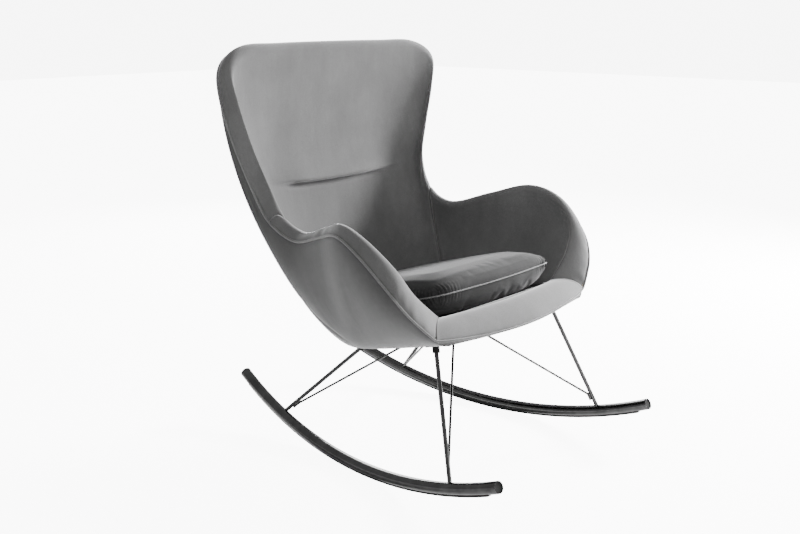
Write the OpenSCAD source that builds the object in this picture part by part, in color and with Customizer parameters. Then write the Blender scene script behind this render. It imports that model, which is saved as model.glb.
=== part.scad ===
// Rocking chair: an upholstered wing shell with a loose seat cushion, on four
// steel rods, four thin braces and two bent tube runners.
// Millimetres. +Z is up, the chair faces -Y, and it is symmetric about X = 0.
// The origin is on the floor, where the runners touch it in the rest attitude.

/* [Shell] */
// Width across the arms, at the rim's outer edge
shell_w = 794; // [700:2:900]
// Depth of the rim, from the front corner to the top of the back
shell_d = 643; // [560:1:740]
// Height of the rim, from the front corner to the top of the back
shell_h = 600; // [520:1:690]
// How far the rim's front corner lies below the deck's front edge
corner_drop = 21; // [10:1:35]
// Height that the soft rim rises above its two edges
rim_crown = 13; // [0:1:20]
// Thickness of the outer cover and of the inner cover panels
cover_t = 3; // [2:0.5:5]
// Thickness of the moulded plywood panels
panel_t = 9; // [6:1:15]
// Thickness of the welt cord along the rim
welt_d = 6; // [4:0.5:8]

/* [Seat] */
// Slope of the seat, down towards the back
seat_slope = 15.6; // [8:0.2:20]
// Height of the seat deck above the floor, at its front edge
deck_z = 410; // [395:1:440]
// Gap between the deck and the underside, straight up, at the front edge
base_h = 55; // [48:1:70]
// Thickness of the plywood seat board
board_t = 15; // [12:1:20]
// Thickness of the lining under the seat board
lining_t = 2; // [1.5:0.5:4]
// Width of the deck at its front edge
deck_w = 432; // [380:2:480]
// Depth of the deck from front to back
deck_l = 427; // [380:1:460]
// How much wider than the deck the underside is, on each side
under_side = 30; // [15:1:40]
// Distance of the underside's front edge in front of the deck's
under_front = 54; // [40:1:60]
// Distance of the underside's back edge in front of the deck's
under_rear = 41; // [25:1:55]
// Gap at the glued and stapled joints between wood, foam and cover
fit_gap = 0.5; // [0.2:0.1:1]
// How far the front rail bulges forward at its middle
rail_bulge = 35; // [0:1:50]

/* [Cushion] */
// How far the cushion's seam line stands out over each side of the deck
cushion_side = 16; // [4:1:20]
// How far the cushion's seam line stands out over the deck's front edge
cushion_front = 4; // [0:1:15]
// Gap between the cushion's seam line and the deck's back edge
cushion_back = 1; // [0:1:20]
// Height of the seam line above the deck
cushion_seam_h = 55; // [40:1:70]
// Height of the crown above the deck
cushion_h = 104; // [80:1:120]
// Gap between the cushion and the deck
cushion_gap = 0.5; // [0.3:0.1:2]
// Thickness of the cushion's cover
cushion_cover_t = 2; // [1:0.5:4]

/* [Runners] */
// Bending radius of the tube's centre line
runner_r = 1168; // [1000:1:1400]
// Length of tube on each side of the floor contact
runner_half = 490; // [420:1:560]
// Outer diameter of the tube
tube_d = 28; // [22:1:35]
// Wall of the tube
tube_wall = 2; // [1.2:0.1:2.5]
// Distance between the two floor contacts
track = 552; // [480:2:640]
// How far the runners turn in towards the back
toe_in = 6.6; // [0:0.1:10]
// How far the runners lean in at the top
lean_in = 8.4; // [0:0.1:12]
// Width of the anti-slip strip
strip_w = 12; // [8:1:20]
// Thickness of the strip below the tube
strip_t = 3; // [2:0.5:6]
// Length of bare tube in front of the strip and behind it
strip_end = 34; // [10:1:80]
// Depth that an end plug goes into the tube
plug_depth = 22; // [12:1:35]
// How far the end plugs sit back from the tube's end
plug_recess = 2; // [0:0.5:5]

/* [Rods] */
// Diameter of the four leg rods
leg_d = 10; // [8:0.5:14]
// Diameter of the four braces
brace_d = 6; // [5:0.5:8]
// Place of the front feet along the runner, from the floor contact
front_foot = 344; // [300:1:400]
// Place of the rear feet along the runner, from the floor contact
rear_foot = 294; // [250:1:350]
// Distance of the front leg tops from the underside's side edges
front_top_side = 18; // [14:1:40]
// Distance of the front leg tops from the underside's front edge
front_top_in = 58; // [45:1:90]
// Distance of the rear leg tops from the line of the underside's side edges
rear_top_side = 105; // [95:1:125]
// Distance of the rear leg tops from the underside's back edge
rear_top_in = 78; // [70:1:110]
// Distance from a foot up to where its brace starts, along the leg
brace_start = 36; // [30:1:60]
// Length of brace that lies against the leg and is welded to it
brace_hook = 18; // [10:1:30]
// Half of the distance between the tops of the front braces
front_brace_x = 28; // [24:1:34]
// Half of the distance between the tops of the rear braces
rear_brace_x = 22; // [18:1:30]
// Distance of the brace tops from the middle of the centre plate
brace_top_y = 40; // [34:1:50]
// Height of the black collars round the leg tops
collar_h = 16; // [10:1:24]
// Wall of the collars
collar_wall = 3.5; // [2:0.5:5]

/* [Plates] */
// Side of the square leg plates
plate_side = 50; // [46:1:56]
// How far inboard of its leg the middle of a leg plate is
plate_in = 12; // [8:1:14]
// Thickness of the plates
plate_t = 3; // [2:0.5:5]
// Distance between a leg plate's two bolts
plate_pitch = 34; // [32:1:38]
// Diameter of the bolts
bolt_d = 6; // [5:1:8]
// Clearance of a bolt in its plate
bolt_gap = 0.5; // [0.2:0.1:1]
// Width of the centre plate
hub_w = 92; // [80:1:120]
// Length of the centre plate
hub_l = 132; // [120:1:160]
// Distance of the centre plate's front edge behind the underside's front edge
hub_in = 140; // [110:1:160]
// Distance of the centre plate's bolts from its side edges
hub_bolt_in = 10; // [9:1:14]
// Half of the distance between its front and rear bolts
hub_bolt_y = 24; // [18:1:28]

/* [Hidden] */
$fn = 48;

velvet = [0.42, 0.42, 0.43];
velvet_dark = [0.33, 0.33, 0.34];
steel = [0.36, 0.37, 0.38];
black = [0.08, 0.08, 0.08];
wood = [0.80, 0.68, 0.48];
foam = [0.93, 0.90, 0.78];

tube_r = tube_d / 2;
axis_z = tube_r + strip_t;
slope = tan(seat_slope);
// Glue line and weld line between pieces that are fixed to each other
joint_gap = 0.02;

// ---- shared helpers ----
function mix(a, b, f) = a + (b - a) * f;
function flip(p) = [-p[0], p[1], p[2]];
function unit(v) = v / norm(v);
function bezier(a, b, c, d, t) =
    a * pow(1 - t, 3) + b * (3 * t * pow(1 - t, 2)) + c * (3 * t * t * (1 - t)) + d * pow(t, 3);
// Value k of a list of stations that carries on, mirrored, past the back's centre
function station(list, k) = k < 0 ? flip(list[-k]) : list[min(k, len(list) - 1)];
// Smooth curve through a list of stations, at the fractional station u
function along(list, u) =
    let (i = min(floor(u), len(list) - 2), f = u - i,
        a = station(list, i - 1), b = station(list, i), c = station(list, i + 1), d = station(list, i + 2))
    0.5 * (2 * b + (c - a) * f + (2 * a - 5 * b + 4 * c - d) * f * f + (3 * b - a - 3 * c + d) * f * f * f);

// A closed solid through a grid of points, grid[i][j][k]. Someone who faces the side of
// the last k from outside sees i run to the right and j run up.
module block(grid) {
    ni = len(grid) - 1;
    nj = len(grid[0]) - 1;
    nk = len(grid[0][0]) - 1;
    function at(i, j, k) = (i * (nj + 1) + j) * (nk + 1) + k;
    // Two triangles that share the diagonal p-r, turned over at the far end of an axis
    function quad(p, q, r, s, far) = far ? [[p, s, r], [p, r, q]] : [[p, q, r], [p, r, s]];
    faces = concat(
        [for (i = [0 : ni - 1]) for (j = [0 : nj - 1]) for (k = [0, nk])
            each quad(at(i, j, k), at(i + 1, j, k), at(i + 1, j + 1, k), at(i, j + 1, k), k > 0)],
        [for (j = [0 : nj - 1]) for (k = [0 : nk - 1]) for (i = [0, ni])
            each quad(at(i, j, k), at(i, j + 1, k), at(i, j + 1, k + 1), at(i, j, k + 1), i > 0)],
        [for (i = [0 : ni - 1]) for (k = [0 : nk - 1]) for (j = [0, nj])
            each quad(at(i, j, k), at(i, j, k + 1), at(i + 1, j, k + 1), at(i + 1, j, k), j > 0)]);
    polyhedron(points = [for (plane = grid) for (row = plane) for (p = row) p], faces = faces, convexity = 8);
}

// A closed solid through a stack of rings, each anticlockwise seen from the last one
module stack(rings) {
    n = len(rings[0]);
    m = len(rings);
    faces = concat(
        [[for (j = [0 : n - 1]) j]],
        [for (i = [0 : m - 2]) for (j = [0 : n - 1])
            let (a = i * n + j, b = i * n + (j + 1) % n) each [[a, a + n, b + n], [a, b + n, b]]],
        [[for (j = [n - 1 : -1 : 0]) (m - 1) * n + j]]);
    polyhedron(points = [for (ring = rings) for (p = ring) p], faces = faces, convexity = 4);
}

// A round bar from one point to another
module bar(a, b, d) {
    v = b - a;
    translate(a) rotate([0, acos(v[2] / norm(v)), atan2(v[1], v[0])]) cylinder(h = norm(v), d = d);
}

// ---- shell stations ----
// Rim stations from the back's centre to the front corner: shares of the shell's
// half width, depth and height. The floor contact is at 0 in the second column.
RIM_OUTER = [[0, 0.561, 1], [0.464, 0.556, 0.999], [0.776, 0.532, 0.993], [0.945, 0.501, 0.930],
    [0.947, 0.493, 0.800], [0.869, 0.484, 0.623], [0.799, 0.456, 0.470], [0.768, 0.375, 0.323],
    [0.765, 0.236, 0.263], [0.846, 0.058, 0.313], [0.955, -0.100, 0.357], [1, -0.236, 0.307],
    [0.972, -0.344, 0.202], [0.892, -0.403, 0.102], [0.741, -0.439, 0]];
RIM_INNER = [[0, 0.493, 1.005], [0.464, 0.484, 1.003], [0.753, 0.465, 0.996], [0.909, 0.446, 0.927],
    [0.882, 0.437, 0.800], [0.799, 0.426, 0.623], [0.718, 0.401, 0.470], [0.678, 0.336, 0.332],
    [0.668, 0.207, 0.278], [0.753, 0.050, 0.332], [0.861, -0.093, 0.378], [0.899, -0.215, 0.352],
    [0.857, -0.317, 0.263], [0.753, -0.350, 0.155], [0.557, -0.358, 0.045]];
// Pull of the profile at the rim, in the same shares, and its reach out of the seat in mm
RIM_PULL = [[0, 0.122, -0.552], [0, 0.122, -0.552], [-0.046, 0.107, -0.552], [-0.127, 0.086, -0.506],
    [-0.116, 0.072, -0.414], [-0.070, 0.043, -0.307], [-0.012, 0, -0.245], [0, -0.029, -0.184],
    [0.035, -0.029, -0.169], [0.028, -0.007, -0.184], [0.023, 0, -0.184], [0.019, 0, -0.153],
    [0, 0.006, -0.107], [-0.023, 0.006, -0.061], [-0.046, 0, -0.031]];
SEAT_REACH = [110, 103, 97, 92, 86, 80, 74, 64, 55, 55, 55, 48, 42, 35, 28];
ends = len(RIM_OUTER) - 1;
seam = 7;

// ---- seat planes ----
corner_z = deck_z - corner_drop;
deck_y = RIM_INNER[ends][1] * shell_d;
deck_back = deck_y + deck_l;
under_y = deck_y - under_front;
under_back = deck_back - under_rear;
under_half = deck_w / 2 + under_side;
function deck_at(y) = deck_z - slope * (y - deck_y);
function under_at(y) = deck_at(y) - base_h;

// Half of a rounded D, from the back's centre (s = 0) to the front corner (s = 1)
function half_d(s, half_w, front, back, power) =
    let (a = 90 * pow(s, 0.9), way = 2 / power)
    [half_w * pow(sin(a), way), mix(front, back, pow(cos(a), way))];
function deck_edge(s) = let (p = half_d(s, deck_w / 2, deck_y, deck_back, 2.5)) [p[0], p[1], deck_at(p[1])];
function under_edge(s) =
    let (p = half_d(s, under_half, under_y, under_back, 2.8)) [p[0], p[1], under_at(p[1])];

// ---- points of the shell ----
// Y of the place on the seat's middle line that each face's foot spreads away from
outer_heart_y = -55;
inner_heart_y = -18;
// The inner face's foot and rim: share of the reach, rise off the deck, shares of the pull
inner_reach = 0.75;
inner_rise = 18;
inner_pull_y = 0.75;
inner_pull_z = 0.9;
// The rim's crown is limited to the top of the profile by this power
crown_power = 8;
function in_mm(p) = [p[0] * shell_w / 2, p[1] * shell_d, p[2] * shell_h];
function on_rim(p) = in_mm(p) + [0, 0, corner_z];
function reach(u) = lookup(u, [for (i = [0 : ends]) [i, SEAT_REACH[i]]]);
function unit_xy(p) = [p[0], p[1], 0] / norm([p[0], p[1]]);

function outer(u, w) =
    let (b = under_edge(u / ends), r = on_rim(along(RIM_OUTER, u)), pull = in_mm(along(RIM_PULL, u)),
        out = unit_xy(b - [0, outer_heart_y, 0]) * reach(u))
    bezier(b, b + out + [0, 0, reach(u) / 5], r + pull, r, w);
function inner(u, w) =
    let (b = deck_edge(u / ends), r = on_rim(along(RIM_INNER, u)), pull = in_mm(along(RIM_PULL, u)),
        out = unit_xy(b - [0, inner_heart_y, 0]) * reach(u) * inner_reach)
    bezier(b, b + out + [0, 0, inner_rise], r + [pull[0], pull[1] * inner_pull_y, pull[2] * inner_pull_z], r, w);
// Direction in which the rim's crown rises
function rise(u) = let (pull = in_mm(along(RIM_PULL, u))) -pull / norm(pull);
// A point of the shell: depth from the outer face as a share of the thickness
function shell_point(u, w, f) =
    let (v = abs(u), p = mix(outer(v, w), inner(v, w), f) + rise(v) * rim_crown * 4 * f * (1 - f) * pow(w, crown_power))
    u < 0 ? flip(p) : p;
function thickness(u, w) = norm(inner(abs(u), w) - outer(abs(u), w));
// Layer faces: in mm from the outer face, or from the inner face when negative
function layer(u, w, depth) =
    let (t = thickness(u, w)) shell_point(u, w, depth >= 0 ? depth / t : 1 + depth / t);

// Where the upper back panel meets the lower one, as a share of the profile
function crease(u) = 0.60 + 0.35 * pow(min(abs(u), 6) / 6, 2);
lower_rows = [for (i = [0 : 6]) i / 6];
upper_rows = [0, 0.35, 0.7, 0.9, 1];
function lower_row(u, f) = crease(u) * f;
function upper_row(u, f) = mix(crease(u), 1, f);
function rows(u, part) = concat(part == "upper" ? [] : [for (f = lower_rows) lower_row(u, f)],
    part == "lower" ? [] : [for (f = upper_rows) if (f > 0 || part == "upper") upper_row(u, f)]);

// A patch of one layer between two stations; the part of the profile is full, lower or upper
module patch(u_from, u_to, depth_a, depth_b, part = "full") {
    block([for (u = [u_from : 0.5 : u_to]) [for (w = rows(u, part)) [for (d = [depth_a, depth_b]) layer(u, w, d)]]]);
}

foam_from = cover_t + panel_t;
foam_to = -cover_t;
// Depth of the inner face itself, which is just short of 0 because 0 means the outer face
inner_face = -0.0001;

module outer_cover() { color(velvet_dark) patch(-ends, ends, 0, cover_t); }
module back_panel() { color(wood) patch(-seam, seam, cover_t, foam_from); }
module left_side_panel() { color(wood) patch(-ends, -seam, cover_t, foam_from); }
module right_side_panel() { color(wood) patch(seam, ends, cover_t, foam_from); }
module upper_back_foam() { color(foam) patch(-seam, seam, foam_from, foam_to, "upper"); }
module lower_back_foam() { color(foam) patch(-seam, seam, foam_from, foam_to, "lower"); }
module left_arm_foam() { color(foam) patch(-ends, -seam, foam_from, foam_to); }
module right_arm_foam() { color(foam) patch(seam, ends, foam_from, foam_to); }
module upper_back_cover() { color(velvet) patch(-seam, seam, foam_to, inner_face, "upper"); }
module lower_back_cover() { color(velvet) patch(-seam, seam, foam_to, inner_face, "lower"); }
module left_arm_cover() { color(velvet) patch(-ends, -seam, foam_to, inner_face); }
module right_arm_cover() { color(velvet) patch(seam, ends, foam_to, inner_face); }

// Share of the profile that shows which way the outer face runs into the rim
near_rim = 0.97;
// Welt cord: a tube laid in the corner between the outer face and the rim's top face
module welt_cord() {
    r = welt_d / 2;
    function edge(u) = layer(u, 1, 0);
    function ahead(u) = unit(edge(min(u + 0.1, ends)) - edge(max(u - 0.1, -ends)));
    function over_rim(u) = unit(cross(shell_point(u, 1, 1) - edge(u), ahead(u)));
    function off_side(u) = unit(cross(edge(u) - shell_point(u, near_rim, 0), ahead(u)));
    color(velvet_dark) stack([for (u = [-ends : 0.5 : ends])
        let (a = unit(over_rim(u) + off_side(u)), b = unit(cross(ahead(u), a)), c = edge(u) + a * (r + fit_gap))
        [for (k = [0 : 7]) c + r * (cos(k * 45) * a + sin(k * 45) * b)]]);
}

// ---- front rail: the shell's section at the front corners, carried across ----
// How far the middle of the rail moves at its front lip and at its inner edge
lip_shift = [0, -rail_bulge, -rail_bulge / 2];
top_shift = [0, -rail_bulge * 0.57, -rail_bulge * 0.057];
// Depth of the extra line that rounds the rail's front lip
lip_depth = foam_from + 20;
rail_rows = rows(ends, "full");
// Row of the profile where the rail's foam ends and its top cover begins
rail_foam_row = len(lower_rows) - 1;
function rail_point(v, w, f) =
    let (p = shell_point(ends, w, f), span = 1 - 2 * fit_gap / p[0])
    [p[0] * v * span, p[1], p[2]] + mix(lip_shift, top_shift, f) * w * (1 - v * v);
function rail_share(w, depth) = let (t = thickness(ends, w)) depth >= 0 ? depth / t : 1 + depth / t;
// A band of the rail between two depths and the first rows of the profile
module rail_band(depths) {
    block([for (v = [1 : -0.1 : -1.001]) [for (i = [0 : rail_foam_row])
        [for (d = depths) rail_point(v, rail_rows[i], rail_share(rail_rows[i], d))]]]);
}
module rail_panel() { color(wood) rail_band([cover_t, foam_from]); }
module rail_foam() { color(foam) rail_band([foam_from, lip_depth, foam_to, inner_face]); }
// The cover runs up the front and over the top, as a path of places on the section
module rail_cover() {
    low = rail_rows[rail_foam_row];
    over = [foam_from, lip_depth, foam_to, inner_face];
    front = [for (i = [0 : rail_foam_row - 1]) rail_rows[i]];
    outside = concat([for (w = front) [w, 0]], [[1, 0]], [for (d = over) [1, rail_share(1, d)]]);
    inside = concat([for (w = front) [w, rail_share(w, cover_t)]], [[low, rail_share(low, cover_t)]],
        [for (d = over) [low, rail_share(low, d)]]);
    color(velvet) block([for (v = [1 : -0.1 : -1.001]) [for (i = [0 : len(outside) - 1])
        [rail_point(v, outside[i][0], outside[i][1]), rail_point(v, inside[i][0], inside[i][1])]]]);
}

// ---- seat base: lining, board and deck pad, stacked between the two seat planes ----
function up(t) = t / cos(seat_slope);
function base_point(s, h) =
    let (p = mix(under_edge(s), deck_edge(s), h / base_h), q = p - unit_xy(p) * fit_gap)
    [q[0], q[1], under_at(q[1]) + h];
// The shell's own stations, so that the base's edge follows the shell's lower edge
base_step = 0.5 / ends;
function base_ring(h) = concat([for (s = [1 : -base_step : base_step / 2]) base_point(s, h)],
    [for (s = [0 : base_step : 1.001]) flip(base_point(s, h))]);
module base_layer(from, to) { stack([base_ring(from), base_ring(to)]); }
// Places its children on the underside of the seat, with Z square to the board
module on_underside(x, y) { translate([x, y, under_at(y)]) rotate([-seat_slope, 0, 0]) children(); }

function side_of(k) = k % 2 == 0 ? -1 : 1;
leg_tops = [for (k = [0 : 3]) k < 2 ? [side_of(k) * (under_half - front_top_side), under_y + front_top_in]
    : [side_of(k) * (under_half - rear_top_side), under_back - rear_top_in]];
plate_mids = [for (k = [0 : 3]) leg_tops[k] - [side_of(k) * plate_in, 0]];
hub_y = under_y + hub_in + hub_l / 2;
hub_bolt_x = hub_w / 2 - hub_bolt_in;
bolt_places = concat([for (m = plate_mids) for (e = [-1, 1]) m + [0, e * plate_pitch / 2]],
    [for (ex = [-1, 1]) for (ey = [-1, 1]) [ex * hub_bolt_x, hub_y + ey * hub_bolt_y]]);
nut_d = bolt_d + 3;
nut_flange_d = nut_d + 10;
nut_flange_t = 1.6;
nut_h = 11;
board_bottom = lining_t;
board_top = lining_t + board_t;
// Length that a drilled hole is cut past the piece
cut = 5;

module underside_lining() {
    color(black) difference() {
        base_layer(joint_gap, up(lining_t));
        for (p = bolt_places) on_underside(p[0], p[1]) translate([0, 0, -cut]) cylinder(h = lining_t + 2 * cut, d = nut_d);
    }
}
module seat_board() {
    color(wood) difference() {
        base_layer(up(board_bottom) + joint_gap, up(board_top));
        for (p = bolt_places) on_underside(p[0], p[1]) {
            cylinder(h = board_top + cut, d = nut_d + 2 * joint_gap);
            translate([0, 0, board_top - nut_flange_t]) cylinder(h = cut, d = nut_flange_d + 2 * fit_gap);
        }
    }
}
module deck_pad() { color(foam) base_layer(up(board_top) + joint_gap, base_h); }
module tee_nuts() {
    color(steel) for (p = bolt_places) on_underside(p[0], p[1]) difference() {
        union() {
            translate([0, 0, board_top - nut_h]) cylinder(h = nut_h, d = nut_d);
            translate([0, 0, board_top - nut_flange_t]) cylinder(h = nut_flange_t, d = nut_flange_d);
        }
        cylinder(h = board_top + cut, d = bolt_d + 4 * joint_gap);
    }
}
module plate_bolts() {
    head_h = bolt_d * 0.55;
    socket = head_h * 0.6;
    color(black) for (p = bolt_places) on_underside(p[0], p[1]) difference() {
        union() {
            translate([0, 0, -plate_t]) cylinder(h = plate_t + board_top - 2, d = bolt_d);
            translate([0, 0, -plate_t - head_h]) cylinder(h = head_h, d = bolt_d * 1.8);
        }
        translate([0, 0, -plate_t - head_h - cut]) cylinder(h = cut + socket, d = bolt_d * 0.7, $fn = 6);
    }
}

// ---- plates under the seat ----
plate_round = 8;
// A level distance in Y, measured along the sloping board
function along_board(y) = y / cos(seat_slope);
module rounded(w, l, r) {
    square([w - 2 * r, l], center = true);
    square([w, l - 2 * r], center = true);
    for (x = [-1, 1]) for (y = [-1, 1]) translate([x * (w / 2 - r), y * (l / 2 - r)]) circle(r);
}
module leg_plate(k) {
    color(black) on_underside(plate_mids[k][0], plate_mids[k][1]) translate([0, 0, -plate_t]) difference() {
        linear_extrude(plate_t) rounded(plate_side, plate_side, plate_round);
        for (e = [-1, 1]) translate([0, e * along_board(plate_pitch / 2), -1])
            cylinder(h = plate_t + 2, d = bolt_d + 2 * bolt_gap);
    }
}
module front_left_plate() { leg_plate(0); }
module front_right_plate() { leg_plate(1); }
module rear_left_plate() { leg_plate(2); }
module rear_right_plate() { leg_plate(3); }
module centre_plate() {
    color(black) on_underside(0, hub_y) translate([0, 0, -plate_t]) difference() {
        linear_extrude(plate_t) rounded(hub_w, hub_l, plate_round);
        for (ex = [-1, 1]) for (ey = [-1, 1]) translate([ex * hub_bolt_x, ey * along_board(hub_bolt_y), -1])
            cylinder(h = plate_t + 2, d = bolt_d + 2 * bolt_gap);
    }
}

// ---- runners ----
// Places its children in the plane of one runner: Y along it, Z up, the arc's lowest point at 0
module on_runner(side) {
    translate([side * track / 2, 0, axis_z]) rotate([0, 0, side * toe_in]) rotate([0, -side * lean_in, 0]) children();
}
function deg(length) = length / runner_r * 180 / PI;
// Sweeps a section along the arc between two places; the section's X points down, out of the arc
module along_arc(from, to) {
    translate([0, 0, runner_r]) rotate([0, 90, 0]) rotate([0, 0, deg(from)])
        rotate_extrude(angle = deg(to - from), $fn = 720) translate([runner_r, 0]) children();
}
module runner_solid(side) { on_runner(side) along_arc(-runner_half, runner_half) circle(tube_r + joint_gap); }
module runner(side) {
    color(steel) on_runner(side) along_arc(-runner_half, runner_half) difference() {
        circle(tube_r);
        circle(tube_r - tube_wall);
    }
}
module strip(side) {
    color(black) on_runner(side) along_arc(-runner_half + strip_end, runner_half - strip_end) difference() {
        rotate(-side * lean_in) translate([tube_r / 2, -strip_w / 2]) square([tube_r / 2 + strip_t, strip_w]);
        circle(tube_r + joint_gap);
    }
}
plug_web = 4;
plug_wall = 2;
module plug(side, end) {
    face = end * (runner_half - plug_recess);
    back = face - end * plug_depth;
    web = face - end * plug_web;
    bore_r = tube_r - tube_wall - joint_gap;
    past = back - end * cut;
    color(black) on_runner(side) difference() {
        along_arc(min(face, back), max(face, back)) circle(bore_r);
        along_arc(min(web, past), max(web, past)) circle(bore_r - plug_wall);
    }
}
module left_runner() { runner(-1); }
module right_runner() { runner(1); }
module left_strip() { strip(-1); }
module right_strip() { strip(1); }
module front_left_plug() { plug(-1, -1); }
module front_right_plug() { plug(1, -1); }
module rear_left_plug() { plug(-1, 1); }
module rear_right_plug() { plug(1, 1); }

// ---- legs and braces ----
// A point of the runner's centre line, at a length along the arc from the floor contact
function on_axis(side, length) =
    let (a = deg(length), y = runner_r * sin(a), z = runner_r * (1 - cos(a)),
        x = -z * sin(lean_in))
    [side * (track / 2 + x * cos(toe_in) - y * sin(toe_in)), y * cos(toe_in) + x * sin(toe_in), axis_z + z * cos(lean_in)];
function leg_foot(k) = on_axis(side_of(k), k < 2 ? -front_foot : rear_foot);
function leg_top(k) = [leg_tops[k][0], leg_tops[k][1], under_at(leg_tops[k][1]) - up(plate_t)];
function leg_way(k) = unit(leg_top(k) - leg_foot(k));
// Everything above the plates' lower faces
module above_plates() {
    on_underside(0, 0) translate([-shell_w / 2, -shell_w / 2, -plate_t - joint_gap]) cube([shell_w, shell_w, shell_w / 2]);
}
// Length that a rod is drawn past its end, before above_plates() trims it
spare = 12;
module leg(k) {
    color(steel) difference() {
        bar(leg_foot(k), leg_top(k) + leg_way(k) * spare, leg_d);
        runner_solid(side_of(k));
        above_plates();
    }
}
module collar(k) {
    color(black) difference() {
        bar(leg_top(k) - leg_way(k) * collar_h, leg_top(k) + leg_way(k) * spare, leg_d + 2 * collar_wall);
        bar(leg_foot(k), leg_top(k) + leg_way(k) * 2 * spare, leg_d + 2 * joint_gap);
        above_plates();
    }
}
// A brace ends under the centre plate; at its foot it bends and lies against the leg
function brace_top(k) =
    let (y = hub_y + (k < 2 ? -brace_top_y : brace_top_y), x = k < 2 ? front_brace_x : rear_brace_x)
    [side_of(k) * x, y, under_at(y) - up(plate_t)];
// Diameter of the weld bead at a brace's bend
weld_d = brace_d + 1.2;
function brace_knee(k) =
    let (p = leg_foot(k) + leg_way(k) * (brace_start + brace_hook), v = brace_top(k) - p,
        side = unit(v - leg_way(k) * (v * leg_way(k))))
    p + side * ((leg_d + weld_d) / 2 + joint_gap);
module brace(k) {
    knee = brace_knee(k);
    way = unit(brace_top(k) - knee);
    color(steel) difference() {
        union() {
            bar(knee, brace_top(k) + way * spare, brace_d);
            translate(knee) sphere(d = weld_d);
            bar(knee - leg_way(k) * brace_hook, knee, brace_d);
        }
        above_plates();
    }
}
module front_left_leg() { leg(0); }
module front_right_leg() { leg(1); }
module rear_left_leg() { leg(2); }
module rear_right_leg() { leg(3); }
module front_left_collar() { collar(0); }
module front_right_collar() { collar(1); }
module rear_left_collar() { collar(2); }
module rear_right_collar() { collar(3); }
module front_left_brace() { brace(0); }
module front_right_brace() { brace(1); }
module rear_left_brace() { brace(2); }
module rear_right_brace() { brace(3); }

// ---- loose seat cushion ----
seam_half = deck_w / 2 + cushion_side;
seam_front = deck_y - cushion_front;
seam_back = deck_back - cushion_back;
cushion_mid = (seam_front + seam_back) / 2;
// Rings from the bottom to the crown: share of the seam outline and height above the deck
function cushion_rings(inset) =
    let (low = cushion_gap + inset, high = cushion_h - inset, k = 1 - inset / seam_half)
    [[0.86 * k, low], [0.96 * k, mix(low, cushion_seam_h, 0.4)], [k, cushion_seam_h],
        [0.95 * k, mix(cushion_seam_h, high, 0.5)], [0.78 * k, mix(cushion_seam_h, high, 0.85)],
        [0.45 * k, mix(cushion_seam_h, high, 0.97)], [0.1, high]];
function cushion_point(s, k, h) =
    let (p = half_d(s, seam_half, seam_front, seam_back, 2.6),
        y = cushion_mid + (p[1] - cushion_mid) * k)
    [p[0] * k, y, deck_at(y) + h];
function cushion_ring(k, h) = concat([for (s = [1 : -0.0625 : 0.01]) cushion_point(s, k, h)],
    [for (s = [0 : 0.0625 : 1.001]) flip(cushion_point(s, k, h))]);
function cushion_stack(inset) = [for (r = cushion_rings(inset)) cushion_ring(r[0], r[1])];
// Number of the ring that lies on the seam line, and of the crown's ring
seam_ring = 2;
crown_ring = 6;
module cushion_foam() { color(foam) stack(cushion_stack(cushion_cover_t + joint_gap)); }
module cushion_top_cover() {
    core = cushion_stack(cushion_cover_t);
    skin = cushion_stack(0);
    color(velvet) stack(concat([for (i = [crown_ring : -1 : seam_ring]) core[i]],
        [for (i = [seam_ring : crown_ring]) skin[i]]));
}
module cushion_bottom_cover() {
    core = cushion_stack(cushion_cover_t);
    skin = cushion_stack(0);
    color(velvet) stack(concat([for (i = [0 : seam_ring]) skin[i]], [for (i = [seam_ring : -1 : 0]) core[i]]));
}

left_runner();
right_runner();
left_strip();
right_strip();
front_left_plug();
front_right_plug();
rear_left_plug();
rear_right_plug();
front_left_leg();
front_right_leg();
rear_left_leg();
rear_right_leg();
front_left_brace();
front_right_brace();
rear_left_brace();
rear_right_brace();
front_left_plate();
front_right_plate();
rear_left_plate();
rear_right_plate();
centre_plate();
front_left_collar();
front_right_collar();
rear_left_collar();
rear_right_collar();
plate_bolts();
tee_nuts();
underside_lining();
seat_board();
deck_pad();
back_panel();
left_side_panel();
right_side_panel();
outer_cover();
upper_back_foam();
lower_back_foam();
left_arm_foam();
right_arm_foam();
upper_back_cover();
lower_back_cover();
left_arm_cover();
right_arm_cover();
rail_panel();
rail_foam();
rail_cover();
welt_cord();
cushion_foam();
cushion_top_cover();
cushion_bottom_cover();
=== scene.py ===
"""The looks of the rocking chair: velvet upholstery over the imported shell, and chromed tube and rods.
Metres, +Z up, the chair faces -Y, the floor contact is the origin."""
import math

import bpy
import numpy as np
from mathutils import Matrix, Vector
from mathutils.bvhtree import BVHTree
from mathutils.kdtree import KDTree


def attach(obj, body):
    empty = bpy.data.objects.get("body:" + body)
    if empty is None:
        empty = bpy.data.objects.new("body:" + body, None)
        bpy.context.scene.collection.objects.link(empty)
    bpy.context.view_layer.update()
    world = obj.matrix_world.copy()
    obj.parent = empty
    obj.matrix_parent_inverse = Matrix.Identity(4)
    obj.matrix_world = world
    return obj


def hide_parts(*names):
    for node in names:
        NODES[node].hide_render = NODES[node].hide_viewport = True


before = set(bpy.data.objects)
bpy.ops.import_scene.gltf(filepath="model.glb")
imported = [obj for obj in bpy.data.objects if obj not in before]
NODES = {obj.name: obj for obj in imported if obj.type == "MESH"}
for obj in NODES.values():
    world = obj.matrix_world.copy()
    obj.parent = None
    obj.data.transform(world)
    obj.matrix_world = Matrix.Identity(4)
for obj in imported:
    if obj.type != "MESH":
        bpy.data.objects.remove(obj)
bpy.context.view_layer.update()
SCENE = bpy.context.scene
MM = 0.001

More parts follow.
